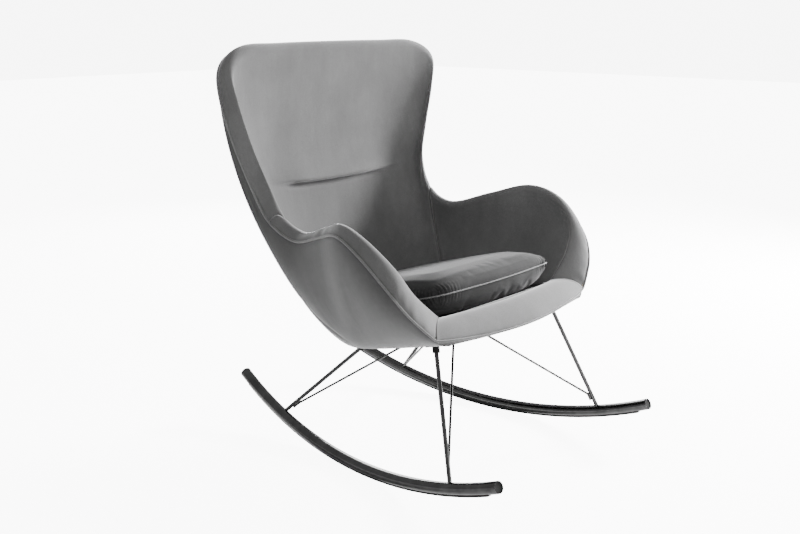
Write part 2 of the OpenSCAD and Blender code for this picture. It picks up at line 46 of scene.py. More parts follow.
# ---- driving sizes, as the part's source has them ----
SHELL = np.array([0.794 / 2, 0.643, 0.600])
COVER, PANEL = 0.003, 0.009
SLOPE = math.tan(math.radians(15.6))
DECK_Z, CORNER_DROP = 0.410, 0.021
DECK_HALF, DECK_L, BASE_H = 0.216, 0.427, 0.055
UNDER_SIDE, UNDER_FRONT, UNDER_REAR = 0.030, 0.054, 0.041
RAIL_BULGE, RIM_CROWN = 0.035, 0.013
RAIL_TOP_BOW, RAIL_TOP_DROP = RAIL_BULGE * 0.57, 0.002
RIM_POWER = 8
RUNNER_R, RUNNER_HALF, TUBE_R, TUBE_WALL = 1.168, 0.490, 0.014, 0.002
TRACK_HALF, TOE_IN, LEAN_IN, STRIP_T = 0.276, math.radians(6.6), math.radians(8.4), 0.003
BOARD_TOP, FIT = 0.017, 0.0005
OUTER_HEART_Y, INNER_HEART_Y = 0.055, 0.018
INNER_REACH, INNER_RISE, INNER_PULL = 0.75, 0.018, [1, 0.75, 0.9]
OUTER_RISE = 0.2
SEAM_STATION, LAST = 7, 14

RIM_OUTER = np.array([[0, 0.561, 1], [0.464, 0.556, 0.999], [0.776, 0.532, 0.993], [0.945, 0.501, 0.930],
    [0.947, 0.493, 0.800], [0.869, 0.484, 0.623], [0.799, 0.456, 0.470], [0.768, 0.375, 0.323],
    [0.765, 0.236, 0.263], [0.846, 0.058, 0.313], [0.955, -0.100, 0.357], [1, -0.236, 0.307],
    [0.972, -0.344, 0.202], [0.892, -0.403, 0.102], [0.741, -0.439, 0]]) * SHELL
RIM_INNER = np.array([[0, 0.493, 1.005], [0.464, 0.484, 1.003], [0.753, 0.465, 0.996], [0.909, 0.446, 0.927],
    [0.882, 0.437, 0.800], [0.799, 0.426, 0.623], [0.718, 0.401, 0.470], [0.678, 0.336, 0.332],
    [0.668, 0.207, 0.278], [0.753, 0.050, 0.332], [0.861, -0.093, 0.378], [0.899, -0.215, 0.352],
    [0.857, -0.317, 0.263], [0.753, -0.350, 0.155], [0.557, -0.358, 0.045]]) * SHELL
RIM_PULL = np.array([[0, 0.122, -0.552], [0, 0.122, -0.552], [-0.046, 0.107, -0.552], [-0.127, 0.086, -0.506],
    [-0.116, 0.072, -0.414], [-0.070, 0.043, -0.307], [-0.012, 0, -0.245], [0, -0.029, -0.184],
    [0.035, -0.029, -0.169], [0.028, -0.007, -0.184], [0.023, 0, -0.184], [0.019, 0, -0.153],
    [0, 0.006, -0.107], [-0.023, 0.006, -0.061], [-0.046, 0, -0.031]]) * SHELL
SEAT_REACH = np.array([110, 103, 97, 92, 86, 80, 74, 64, 55, 55, 55, 48, 42, 35, 28]) * MM

CORNER_Z = DECK_Z - CORNER_DROP
DECK_Y = RIM_INNER[LAST][1]
DECK_BACK = DECK_Y + DECK_L
UNDER_Y, UNDER_BACK = DECK_Y - UNDER_FRONT, DECK_BACK - UNDER_REAR
UNDER_HALF = DECK_HALF + UNDER_SIDE
DECK_COS = math.cos(math.atan(SLOPE))
DECK_POWER, UNDER_POWER, CUSHION_POWER = 2.5, 2.8, 2.6


# ---- the shell's surfaces ----
def unit(v):
    return v / np.maximum(np.linalg.norm(v, axis=-1, keepdims=True), 1e-12)


def xyz(x, y, z):
    return np.stack(np.broadcast_arrays(x, y, z), axis=-1).astype(float)


def smooth_step(low, high, x):
    t = np.clip((x - low) / (high - low), 0, 1)
    return t * t * (3 - 2 * t)


def deck_at(y):
    return DECK_Z - SLOPE * (y - DECK_Y)


def half_d(s, half_w, front, back, power):
    """Half of a rounded D, from the back's centre (s = 0) to the front corner (s = 1)."""
    a, way = np.pi / 2 * np.power(s, 0.9), 2 / power
    cos = np.maximum(np.cos(a), 0)
    return half_w * np.power(np.sin(a), way), front + (back - front) * np.power(cos, way)


def deck_edge(s):
    x, y = half_d(s, DECK_HALF, DECK_Y, DECK_BACK, DECK_POWER)
    return xyz(x, y, deck_at(y))


def under_edge(s):
    x, y = half_d(s, UNDER_HALF, UNDER_Y, UNDER_BACK, UNDER_POWER)
    return xyz(x, y, deck_at(y) - BASE_H)


def along(stations, u):
    """The smooth curve through the stations, mirrored past the back's centre."""
    whole = np.vstack([stations[1] * [-1, 1, 1], stations, stations[-1]])
    i = np.minimum(np.floor(u).astype(int), len(stations) - 2)
    f = (u - i)[..., None]
    a, b, c, d = (whole[i + k] for k in range(4))
    return 0.5 * (2 * b + (c - a) * f + (2 * a - 5 * b + 4 * c - d) * f**2 + (3 * b - a - 3 * c + d) * f**3)


def bezier(a, b, c, d, t):
    t = t[..., None]
    return a * (1 - t) ** 3 + 3 * b * t * (1 - t) ** 2 + 3 * c * t * t * (1 - t) + d * t**3


def face(u, w, inner):
    """Points of the shell's inner or outer face at station |u| and share w of the profile."""
    u, w = np.broadcast_arrays(np.abs(np.asarray(u, float)), np.asarray(w, float))
    reach = np.interp(u, range(LAST + 1), SEAT_REACH)[..., None]
    base = deck_edge(u / LAST) if inner else under_edge(u / LAST)
    rim = along(RIM_INNER if inner else RIM_OUTER, u) + [0, 0, CORNER_Z]
    pull = along(RIM_PULL, u)
    out = unit((base + [0, INNER_HEART_Y if inner else OUTER_HEART_Y, 0]) * [1, 1, 0])
    if inner:
        low = base + out * reach * INNER_REACH + [0, 0, INNER_RISE]
        return bezier(base, low, rim + pull * INNER_PULL, rim, w)
    return bezier(base, base + out * reach + reach * [0, 0, OUTER_RISE], rim + pull, rim, w)


def shell(u, w, f):
    """A point between the shell's outer face (f = 0) and its inner face (f = 1), with the rim's crown."""
    u, w, f = np.broadcast_arrays(np.asarray(u, float), np.asarray(w, float), np.asarray(f, float))
    p = face(u, w, False) * (1 - f[..., None]) + face(u, w, True) * f[..., None]
    crown = RIM_CROWN * 4 * f * (1 - f) * w**RIM_POWER
    p = p - unit(along(RIM_PULL, np.abs(u))) * crown[..., None]
    p[..., 0] *= np.where(u < 0, -1, 1)
    return p


def share(u, w, depth):
    """Depth below the outer face as a share of the thickness."""
    return depth / np.maximum(np.linalg.norm(face(u, w, True) - face(u, w, False), axis=-1), 1e-6)


def rim_ahead(u, f):
    """The step along the rim, as u grows, at share f of its thickness."""
    step = 0.05
    return shell(np.minimum(u + step, LAST), 1, f) - shell(np.maximum(u - step, -LAST), 1, f)


def rim_normal(u):
    """Direction straight out of the rim, across its own line."""
    return unit(np.cross(shell(u, 1, 1) - shell(u, 1, 0), rim_ahead(u, 0.5)))


def grid_normals(points):
    """Normals of a grid of points, out of the side from which i runs right and j runs up."""
    return unit(np.cross(np.gradient(points, axis=0), np.gradient(points, axis=1)))


def smooth_loop(points, rounds):
    """Softens a closed line of points."""
    for _ in range(rounds):
        points = (np.roll(points, 1, axis=0) + 2 * points + np.roll(points, -1, axis=0)) / 4
    return points


def ripple(t, seed):
    """A smooth irregular wave of t, the same in every run, between about -1 and 1."""
    count = 5
    waves = np.random.default_rng(seed).uniform([0.6, 0, 0.5], [1.9, 2 * np.pi, 1.0], (count, 3))
    return sum(a * np.sin(t * k + p) for k, p, a in waves) / count * 1.6


# ---- mesh helpers ----
def make_mesh(name, vertices, faces, material, body="chair", slot=None):
    mesh = bpy.data.meshes.new(name)
    mesh.from_pydata([tuple(v) for v in np.asarray(vertices)], [], [tuple(map(int, f)) for f in faces])
    mesh.validate()
    mesh.materials.append(material)
    mesh.polygons.foreach_set("use_smooth", [True] * len(mesh.polygons))
    obj = bpy.data.objects.new(name, mesh)
    SCENE.collection.objects.link(obj)
    if body:
        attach(obj, body)
    return obj


def set_material(obj, material):
    obj.data.materials.clear()
    obj.data.materials.append(material)


def grid_faces(rows, cols, offset=0, flip=False):
    i, j = np.meshgrid(np.arange(rows - 1), np.arange(cols - 1), indexing="ij")
    a, b = i * cols + j, (i + 1) * cols + j
    quads = np.stack([a, b, b + 1, a + 1], axis=-1).reshape(-1, 4) + offset
    return quads[:, ::-1] if flip else quads


def closed_sheet(name, front, back, material, **how):
    """A closed solid between a front grid, seen with i to the right and j up, and a back grid like it."""
    rows, cols = front.shape[:2]
    count = rows * cols
    faces = [grid_faces(rows, cols), grid_faces(rows, cols, count, flip=True)]
    edge = list(range(cols)) + [i * cols + cols - 1 for i in range(1, rows)]
    edge += [(rows - 1) * cols + k for k in range(cols - 2, -1, -1)]
    edge += [i * cols for i in range(rows - 2, 0, -1)]
    ring = np.array(edge)
    after = np.roll(ring, -1)
    faces.append(np.stack([ring, after, after + count, ring + count], axis=-1))
    vertices = np.vstack([front.reshape(-1, 3), back.reshape(-1, 3)])
    return make_mesh(name, vertices, np.vstack(faces), material, **how)


def ring_faces(count, sides, closed=False):
    """Quads between rings of points that follow each other."""
    faces = []
    for i in range(count if closed else count - 1):
        k = (i + 1) % count
        for j in range(sides):
            n = (j + 1) % sides
            faces.append((i * sides + j, i * sides + n, k * sides + n, k * sides + j))
    return faces


def make_cord(name, path, radius, sides, **how):
    """A round cord along a closed path of points."""
    tangent = unit(np.roll(path, -1, axis=0) - np.roll(path, 1, axis=0))
    normal = np.zeros_like(path)
    start = np.array([0.0, 0, 1]) if abs(tangent[0][2]) < 0.9 else np.array([1.0, 0, 0])
    for i, t in enumerate(tangent):
        side = start - t * (start @ t)
        normal[i] = start = side / np.linalg.norm(side)
    binormal = np.cross(tangent, normal)
    angle = np.linspace(0, 2 * np.pi, sides, endpoint=False)
    rings = path[:, None] + radius * (np.cos(angle)[None, :, None] * normal[:, None]
        + np.sin(angle)[None, :, None] * binormal[:, None])
    faces = ring_faces(len(path), sides, closed=True)
    return make_mesh(name, rings.reshape(-1, 3), faces, PIPING_VELVET, **how)


# ---- materials ----
NOISE_LOW, NOISE_HIGH = 0.3, 0.7


def new_material(name):
    material = bpy.data.materials.new(name)
    material.use_nodes = True
    nodes, links = material.node_tree.nodes, material.node_tree.links
    nodes.clear()
    out = nodes.new("ShaderNodeOutputMaterial")
    shader = nodes.new("ShaderNodeBsdfPrincipled")
    links.new(shader.outputs["BSDF"], out.inputs["Surface"])
    place = nodes.new("ShaderNodeTexCoord")
    return material, nodes, links, shader, place.outputs["Object"]


def noise(nodes, links, place, scale, detail=3.0, rough=0.55, stretch=None):
    node = nodes.new("ShaderNodeTexNoise")
    node.inputs["Scale"].default_value = scale
    node.inputs["Detail"].default_value = detail
    node.inputs["Roughness"].default_value = rough
    if stretch:
        mapping = nodes.new("ShaderNodeMapping")
        mapping.inputs["Scale"].default_value = stretch
        links.new(place, mapping.inputs["Vector"])
        place = mapping.outputs["Vector"]
    links.new(place, node.inputs["Vector"])
    return node.outputs["Fac"]


def ramp(nodes, links, value, low, high):
    """A colour between low and high, as a noise value runs over its usual range."""
    node = nodes.new("ShaderNodeValToRGB")
    node.color_ramp.elements[0].position = NOISE_LOW
    node.color_ramp.elements[1].position = NOISE_HIGH
    node.color_ramp.elements[0].color = (*low, 1)
    node.color_ramp.elements[1].color = (*high, 1)
    links.new(value, node.inputs["Fac"])
    return node.outputs["Color"]


def spread(nodes, links, value, low, high):
    """A number between low and high, as a noise value runs over its usual range."""
    node = nodes.new("ShaderNodeMapRange")
    limits = {"From Min": NOISE_LOW, "From Max": NOISE_HIGH, "To Min": low, "To Max": high}
    for name, number in limits.items():
        node.inputs[name].default_value = number
    links.new(value, node.inputs["Value"])
    return node.outputs["Result"]


def multiply(nodes, links, a, b):
    node = nodes.new("ShaderNodeMix")
    node.data_type, node.blend_type = "RGBA", "MULTIPLY"
    node.inputs["Factor"].default_value = 1.0
    links.new(a, node.inputs["A"])
    links.new(b, node.inputs["B"])
    return node.outputs["Result"]


def bump(nodes, links, height, strength, distance, under=None):
    node = nodes.new("ShaderNodeBump")
    node.inputs["Strength"].default_value = strength
    node.inputs["Distance"].default_value = distance
    links.new(height, node.inputs["Height"])
    if under:
        links.new(under, node.inputs["Normal"])
    return node.outputs["Normal"]


def grey(value):
    return (value, value, value)


def velvet(name, level, sheen=1.0):
    """Short-pile velvet: soft patches where the pile lies another way, streaks and a fine nap."""
    material, nodes, links, shader, place = new_material(name)
    patches = noise(nodes, links, place, 6.0, 2.0, 0.5)
    brushed = noise(nodes, links, place, 26.0, 4.0, 0.6, (1.0, 1.0, 0.28))
    nap = noise(nodes, links, place, 620.0, 2.0, 0.6)
    wide = ramp(nodes, links, patches, grey(level * 0.86), grey(level * 1.12))
    streaks = ramp(nodes, links, brushed, grey(0.90), grey(1.10))
    fine = ramp(nodes, links, nap, grey(0.86), grey(1.16))
    colour = multiply(nodes, links, multiply(nodes, links, wide, streaks), fine)
    links.new(colour, shader.inputs["Base Color"])
    links.new(spread(nodes, links, brushed, 0.78, 0.94), shader.inputs["Roughness"])
    shader.inputs["Specular IOR Level"].default_value = 0.18
    shader.inputs["Sheen Weight"].default_value = sheen
    shader.inputs["Sheen Roughness"].default_value = 0.38
    shader.inputs["Sheen Tint"].default_value = (0.92, 0.92, 0.93, 1)
    soft = bump(nodes, links, brushed, 0.25, 0.0016)
    links.new(bump(nodes, links, nap, 0.35, 0.0005, soft), shader.inputs["Normal"])
    return material


def dark_chrome():
    material, nodes, links, shader, place = new_material("dark_chrome")
    smear = noise(nodes, links, place, 34.0, 3.0, 0.6)
    scratches = noise(nodes, links, place, 260.0, 2.0, 0.7, (1.0, 0.08, 1.0))
    links.new(ramp(nodes, links, smear, grey(0.055), grey(0.085)), shader.inputs["Base Color"])
    links.new(spread(nodes, links, smear, 0.10, 0.19), shader.inputs["Roughness"])
    links.new(bump(nodes, links, scratches, 0.04, 0.0002), shader.inputs["Normal"])
    shader.inputs["Metallic"].default_value = 1.0
    return material


def painted(name, low, high, rough, grain=420.0, depth=0.0003, metallic=0.0):
    """Powder coat, moulded plastic, rubber or plating: a fine grain, slightly uneven in tone and gloss."""
    material, nodes, links, shader, place = new_material(name)
    tone = noise(nodes, links, place, 45.0, 3.0)
    texture = noise(nodes, links, place, grain, 2.0, 0.6)
    shader.inputs["Specular IOR Level"].default_value = 0.25
    links.new(ramp(nodes, links, tone, grey(low), grey(high)), shader.inputs["Base Color"])
    links.new(spread(nodes, links, tone, rough * 0.85, rough * 1.15), shader.inputs["Roughness"])
    links.new(bump(nodes, links, texture, 0.4, depth), shader.inputs["Normal"])
    shader.inputs["Metallic"].default_value = metallic
    return material


def plywood():
    material, nodes, links, shader, place = new_material("birch_plywood")
    grain = noise(nodes, links, place, 18.0, 5.0, 0.6, (1.0, 9.0, 1.0))
    colour = ramp(nodes, links, grain, (0.50, 0.36, 0.20), (0.66, 0.52, 0.33))
    links.new(colour, shader.inputs["Base Color"])
    links.new(bump(nodes, links, grain, 0.2, 0.0004), shader.inputs["Normal"])
    shader.inputs["Roughness"].default_value = 0.62
    return material


def woven(name, low, high, pitch):
    """Plain cloth: warp and weft as crossed waves, closer together where the pitch is finer."""
    material, nodes, links, shader, place = new_material(name)
    threads = []
    for axis in ("X", "Y"):
        wave = nodes.new("ShaderNodeTexWave")
        wave.bands_direction = axis
        wave.inputs["Scale"].default_value = 0.5 / pitch
        wave.inputs["Distortion"].default_value = 0.6
        links.new(place, wave.inputs["Vector"])
        threads.append(wave.outputs["Color"])
    weave = multiply(nodes, links, *threads)
    mottle = noise(nodes, links, place, 40.0, 3.0)
    tone = ramp(nodes, links, mottle, grey(low), grey(high))
    links.new(tone, shader.inputs["Base Color"])
    links.new(bump(nodes, links, weave, 0.5, 0.0005), shader.inputs["Normal"])
    shader.inputs["Roughness"].default_value = 0.92
    return material


VELVET = velvet("grey_velvet", 0.110)
OUTER_VELVET = velvet("grey_velvet_outer", 0.070, 0.8)
# A lighter copy of the grey velvet for the front rail: painted light, standing in for the light that falls on
# the rail's front
LIT_RAIL_VELVET = velvet("grey_velvet_rail_painted_light", 0.170)
CUSHION_VELVET = velvet("grey_velvet_cushion", 0.026, 0.30)
PIPING_VELVET = velvet("grey_velvet_piping", 0.15, 1.0)
CHROME = dark_chrome()
RUBBER = painted("black_rubber", 0.010, 0.018, 0.75, 300.0, 0.0006)
PLASTIC = painted("black_plastic", 0.006, 0.010, 0.7)
BLACK_STEEL = painted("black_powder_coat", 0.014, 0.024, 0.42, 520.0, 0.0004)
ZINC = painted("zinc_plate", 0.50, 0.62, 0.35, 180.0, 0.0002, 1.0)
LINING = woven("black_lining", 0.012, 0.022, 0.0018)
DECK_CLOTH = woven("grey_deck_cloth", 0.05, 0.07, 0.0014)
PLYWOOD = plywood()
NODE_MATERIALS = {"leg": CHROME, "brace": CHROME, "strip": RUBBER, "plug": PLASTIC, "collar": PLASTIC,
    "plate": BLACK_STEEL, "bolts": BLACK_STEEL, "nuts": ZINC, "lining": LINING, "board": PLYWOOD,
    "panel": PLYWOOD, "pad": DECK_CLOTH}


def dress_nodes():
    """CAD nodes that stay get the finish that their names end in."""
    for name, obj in NODES.items():
        finish = NODE_MATERIALS.get(name.split("_")[-1])
        if finish:
            set_material(obj, finish)


# ---- camera, light and floor ----
BACKGROUND, SKY, FLOOR_GLOW = 9.6, 0.80, 8.8


def make_camera():
    data = bpy.data.cameras.new("camera")
    data.lens, data.sensor_width = 46.6, 36
    data.clip_start, data.clip_end = 0.05, 60
    camera = bpy.data.objects.new("camera", data)
    camera.location = (-1.934, -1.644, 1.085)
    camera.rotation_euler = (math.radians(90 - 13.97), 0, math.radians(-48.2))
    SCENE.collection.objects.link(camera)
    SCENE.camera = camera


def area_light(name, place, target, size, power):
    data = bpy.data.lights.new(name, "AREA")
    data.shape, data.size, data.energy = "DISK", size, power
    light = bpy.data.objects.new(name, data)
    light.location = place
    light.rotation_euler = (Vector(target) - Vector(place)).to_track_quat("-Z", "Y").to_euler()
    SCENE.collection.objects.link(light)


def make_lights():
    seat = (0, 0, 0.5)
    area_light("key", (2.9, -0.72, 1.6), (0, 0, 0.6), 0.9, 370)
    area_light("front_fill", (0.2, -3.3, 0.6), (0, 0, 0.4), 1.4, 30)
    area_light("side_fill", (-3.2, 0.6, 1.2), seat, 2.0, 3)
    area_light("back", (1.8, 2.7, 1.5), seat, 1.4, 95)
    area_light("top", (0.2, -0.3, 3.2), seat, 1.6, 8)


def make_world():
    """A white background for the camera, and a much dimmer sky for everything else."""
    world = bpy.data.worlds.new("studio")
    world.use_nodes = True
    SCENE.world = world
    nodes, links = world.node_tree.nodes, world.node_tree.links
    nodes.clear()
    out = nodes.new("ShaderNodeOutputWorld")
    mix = nodes.new("ShaderNodeMixShader")
    seen, light = nodes.new("ShaderNodeBackground"), nodes.new("ShaderNodeBackground")
    seen.inputs["Strength"].default_value = BACKGROUND
    light.inputs["Strength"].default_value = SKY
    links.new(nodes.new("ShaderNodeLightPath").outputs["Is Camera Ray"], mix.inputs["Fac"])
    links.new(light.outputs["Background"], mix.inputs[1])
    links.new(seen.outputs["Background"], mix.inputs[2])
    links.new(mix.outputs["Shader"], out.inputs["Surface"])


def make_floor():
    """A pale floor that glows for the camera, so that it runs into the background."""
    material = bpy.data.materials.new("studio_floor")
    material.use_nodes = True
    nodes, links = material.node_tree.nodes, material.node_tree.links
    shader = nodes["Principled BSDF"]
    shader.inputs["Base Color"].default_value = (0.93, 0.93, 0.93, 1)
    shader.inputs["Roughness"].default_value = 0.7
    shader.inputs["Specular IOR Level"].default_value = 0.1
    glow = nodes.new("ShaderNodeEmission")
    glow.inputs["Strength"].default_value = FLOOR_GLOW
    add, pick = nodes.new("ShaderNodeAddShader"), nodes.new("ShaderNodeMixShader")
    links.new(shader.outputs["BSDF"], add.inputs[0])
    links.new(glow.outputs["Emission"], add.inputs[1])
    links.new(nodes.new("ShaderNodeLightPath").outputs["Is Camera Ray"], pick.inputs["Fac"])
    links.new(shader.outputs["BSDF"], pick.inputs[1])
    links.new(add.outputs["Shader"], pick.inputs[2])
    links.new(pick.outputs["Shader"], nodes["Material Output"].inputs["Surface"])
    half = 14
    corners = [(-half, -half, 0), (half, -half, 0), (half, half, 0), (-half, half, 0)]
    floor = make_mesh("floor", corners, [(0, 1, 2, 3)], material, body=None)


# ---- upholstery on the shell ----
def panel_tree():
    """The stiff panels that the upholstery is wrapped round."""
    vertices, faces = [], []
    for name, obj in NODES.items():
        if name.endswith("_panel"):
            start = len(vertices)
            vertices += [obj.matrix_world @ v.co for v in obj.data.vertices]
            faces += [[start + i for i in f.vertices] for f in obj.data.polygons]
    return BVHTree.FromPolygons(vertices, faces)


PANELS = panel_tree()
CLEAR, SEARCH = 0.0018, 0.025
WIDEN_ROUNDS, SOFTEN_ROUNDS = 3, 10


def over_panels(points, normals, active=None):
    """Lifts a grid along its normals, smoothly, wherever a stiff panel would show through it."""
    lift = np.zeros(points.shape[:2])
    for i in range(points.shape[0]):
        for j in range(points.shape[1]):
            if active is not None and not active[i, j]:
                continue
            normal = Vector(normals[i, j])
            hit = PANELS.ray_cast(Vector(points[i, j]) + normal * SEARCH, -normal, SEARCH - CLEAR * 0.2)
            if hit[0]:
                lift[i, j] = SEARCH - hit[3] + CLEAR
    if not lift.any():
        return points
    wide = lift.copy()
    for _ in range(WIDEN_ROUNDS):
        padded = np.pad(wide, 1, mode="edge")
        wide = np.max([padded[1 + a:padded.shape[0] - 1 + a, 1 + b:padded.shape[1] - 1 + b]
            for a in (-1, 0, 1) for b in (-1, 0, 1)], axis=0)
    for _ in range(SOFTEN_ROUNDS):
        padded = np.pad(wide, 1, mode="edge")
        wide = (padded[:-2, 1:-1] + padded[2:, 1:-1] + padded[1:-1, :-2] + padded[1:-1, 2:] + 2 * wide) / 6
    return points + normals * np.maximum(wide, lift * 0.98)[..., None]


ROLL_STATIONS = [0, 2, 3, 4, 6, 7, 8, 10, 12, 14]
ROLL_HEIGHTS = np.array([3, 3, 4, 5, 5, 5, 4, 4, 4, 4]) * MM
ROLL_POWER, ROLL_REACH, PLEAT = 2.3, 0.985, 0.0008
GROOVE, MITRE, MITRE_WIDTH = 0.0028, 0.0008, 0.004
RIM_CORD_R, CORD_OUT = 0.0026, 0.0012
RAIL_END, RAIL_CROWN = 1.004, 0.006
BACK_SEAM_X, BACK_SEAM_SPREAD = 0.235, 0.05
UNDER_ROLL, SEAM_SHARE = 0.0015, 0.02


def roll_height(u):
    return np.interp(np.abs(u), ROLL_STATIONS, ROLL_HEIGHTS)


def arch(q):
    """0 at q = 0 and q = 1, and a full, rounded 1 between them."""
    return np.power(np.clip(1 - np.abs(2 * q - 1) ** ROLL_POWER, 0, 1), 1 / ROLL_POWER)


def roll(u, q):
    """The rounded top of the rim, from the inner face (q = 0) to the outer seam (q = 1)."""
    f = 1 - q * ROLL_REACH
    pleats = ripple(u * 9.0, 4) * PLEAT * smooth_step(0.5, 0.85, q) * smooth_step(7.5, 9.5, np.abs(u))
    return shell(u, 1, f) + rim_normal(u) * (roll_height(u) * arch(q) + pleats)[..., None]


def seam_dip(distance, depth=GROOVE, width=0.006):
    """The groove that a seam pulls into the cloth."""
    return -depth * np.exp(-((distance / width) ** 2))


def pad(name, u_from, u_to, columns, rows, roll_rows, shape, replaced):
    """A pad of the inner side, from the deck up the inner face and over the rim to the outer seam."""
    us = np.linspace(u_from, u_to, columns)
    ws, qs = np.linspace(0, 1, rows), np.linspace(0, 1, roll_rows + 1)[1:]
    u_low, w_low = np.meshgrid(us, ws, indexing="ij")
    u_top, q_top = np.meshgrid(us, qs, indexing="ij")
    front = np.concatenate([shell(u_low, w_low, 1), roll(u_top, q_top)], axis=1)
    behind = COVER + PANEL + FIT
    inside = shell(u_low, w_low, share(u_low, w_low, behind))
    f_top = share(u_top, 1, behind) * (1 - q_top) + SEAM_SHARE * q_top
    over = shell(u_top, 1, f_top) - rim_normal(u_top) * UNDER_ROLL
    back = np.concatenate([inside, over], axis=1)
    rim_share = smooth_step(0.9, 1.0, np.concatenate([ws, 1 + qs])[1:-1])[None, :, None]
    for _ in range(3):
        front[:, 1:-1] += 0.5 * ((front[:, 2:] + front[:, :-2]) / 2 - front[:, 1:-1]) * rim_share
    front += grid_normals(front) * shape(front)[..., None]
    near_rim = np.broadcast_to(np.concatenate([ws > 0.8, qs > 0]), front.shape[:2])
    front = over_panels(front, grid_normals(front), near_rim)
    obj = closed_sheet(name, front, back, VELVET, slot="velvet")
    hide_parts(*replaced)


CREASE_Z, CREASE_RISE, CREASE_HALF = 0.644, 0.007, 0.181
SWELL, SWELL_HEIGHT = 0.021, 0.060
TUCK, TUCK_BELOW, TUCK_HEIGHT = 0.006, 0.003, 0.007


def across(front, edges):
    """Distance of each point from the nearest seam, along the first or last column of the grid."""
    steps = np.linalg.norm(np.diff(front, axis=0), axis=-1)
    run = np.concatenate([np.zeros((1, front.shape[1])), np.cumsum(steps, axis=0)], axis=0)
    near = np.full(run.shape, 1.0)
    if "first" in edges:
        near = np.minimum(near, run)
    if "last" in edges:
        near = np.minimum(near, run[-1] - run)
    return near


def back_shape(front):
    """The upper back swells over a crease that fades out before the wings."""
    x, z = front[..., 0], front[..., 2]
    above = z - (CREASE_Z + CREASE_RISE * (x / CREASE_HALF) ** 2)
    fade = 1 - smooth_step(0.132, 0.186, np.abs(x))
    wide = 1 - smooth_step(0.10, 0.25, np.abs(x))
    swell = SWELL * np.exp(-np.maximum(above, 0) / SWELL_HEIGHT) * smooth_step(-0.002, 0.008, above)
    tuck = -TUCK * np.exp(-(((above + TUCK_BELOW) / TUCK_HEIGHT) ** 2))
    return swell * wide + tuck * fade + seam_dip(across(front, ("first", "last")))


def arm_shape(back_end, mitre_end):
    """An arm's pad is flat, but for its deep seam to the back and its shallow one to the rail."""
    def shape(front):
        mitre = seam_dip(across(front, (mitre_end,)), MITRE, MITRE_WIDTH)
        return seam_dip(across(front, (back_end,))) + mitre
    return shape


def make_pads():
    pad("back_pad", -SEAM_STATION, SEAM_STATION, 221, 230, 26, back_shape,
        ("upper_back_foam", "lower_back_foam", "upper_back_cover", "lower_back_cover"))
    pad("left_arm_pad", -LAST, -SEAM_STATION, 131, 70, 26, arm_shape("last", "first"),
        ("left_arm_foam", "left_arm_cover"))
    pad("right_arm_pad", SEAM_STATION, LAST, 131, 70, 26, arm_shape("first", "last"),
        ("right_arm_foam", "right_arm_cover"))


def make_outer_cover():
    """The outer cover: one smooth skin with two seams up the back, turned in under the welt."""
    us, ws = np.linspace(-LAST, LAST, 401), np.linspace(0, 1, 110)
    u, w = np.meshgrid(us, ws, indexing="ij")
    skin = shell(u, w, 0)
    normal = -grid_normals(skin)
    seam_x = BACK_SEAM_X + BACK_SEAM_SPREAD * w
    behind = smooth_step(0.02, 0.08, skin[..., 1]) * (1 - smooth_step(7.5, 8.5, np.abs(u)))
    seam = seam_dip(np.abs(skin[..., 0]) - seam_x, width=0.0045) * behind
    turn = -0.0012 * smooth_step(0.975, 1.0, w)
    sag = 0.0010 * (0.4 + ripple(u * 2.1 + w * 5, 9)) * np.sin(np.pi * w)
    skin = skin + normal * (seam + turn + sag)[..., None]
    skin = over_panels(skin, normal)
    inside = shell(u, w, share(u, w, COVER - 0.0006))
    obj = closed_sheet("outer_cover_skin", skin[::-1], inside[::-1], OUTER_VELVET, slot="velvet_outer")
    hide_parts("outer_cover")


def make_welt():
    """Thin piping in the seam between the outer cover and the rolled rim."""
    u = np.linspace(-LAST, LAST, 700)
    edge = shell(u, 1, 0)
    off_side = unit(np.cross(edge - shell(u, 0.97, 0), unit(rim_ahead(u, 0))))
    path = edge + unit(rim_normal(u) + off_side) * CORD_OUT
    v = np.linspace(1, -1, 140)[1:-1]
    lip = rail(v, np.ones_like(v), np.zeros_like(v)) + unit(np.array([0, -1.0, -0.4])) * CORD_OUT
    path = smooth_loop(np.vstack([path, lip]), 14)
    obj = make_cord("rim_piping", path, RIM_CORD_R, sides=12, slot="velvet_outer")
    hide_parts("welt_cord")


def rail(v, w, f):
    """A point of the front rail, from the left end (v = -1) to the right end, with its forward bow."""
    p = shell(LAST, w, f)
    lip_shift = np.array([0, -RAIL_BULGE, -RAIL_BULGE / 2]) * (1 - f)[..., None]
    top_shift = np.array([0, -RAIL_TOP_BOW, -RAIL_TOP_DROP]) * f[..., None]
    p[..., 0] *= v
    return p + (lip_shift + top_shift) * w[..., None] * (1 - v * v)[..., None]


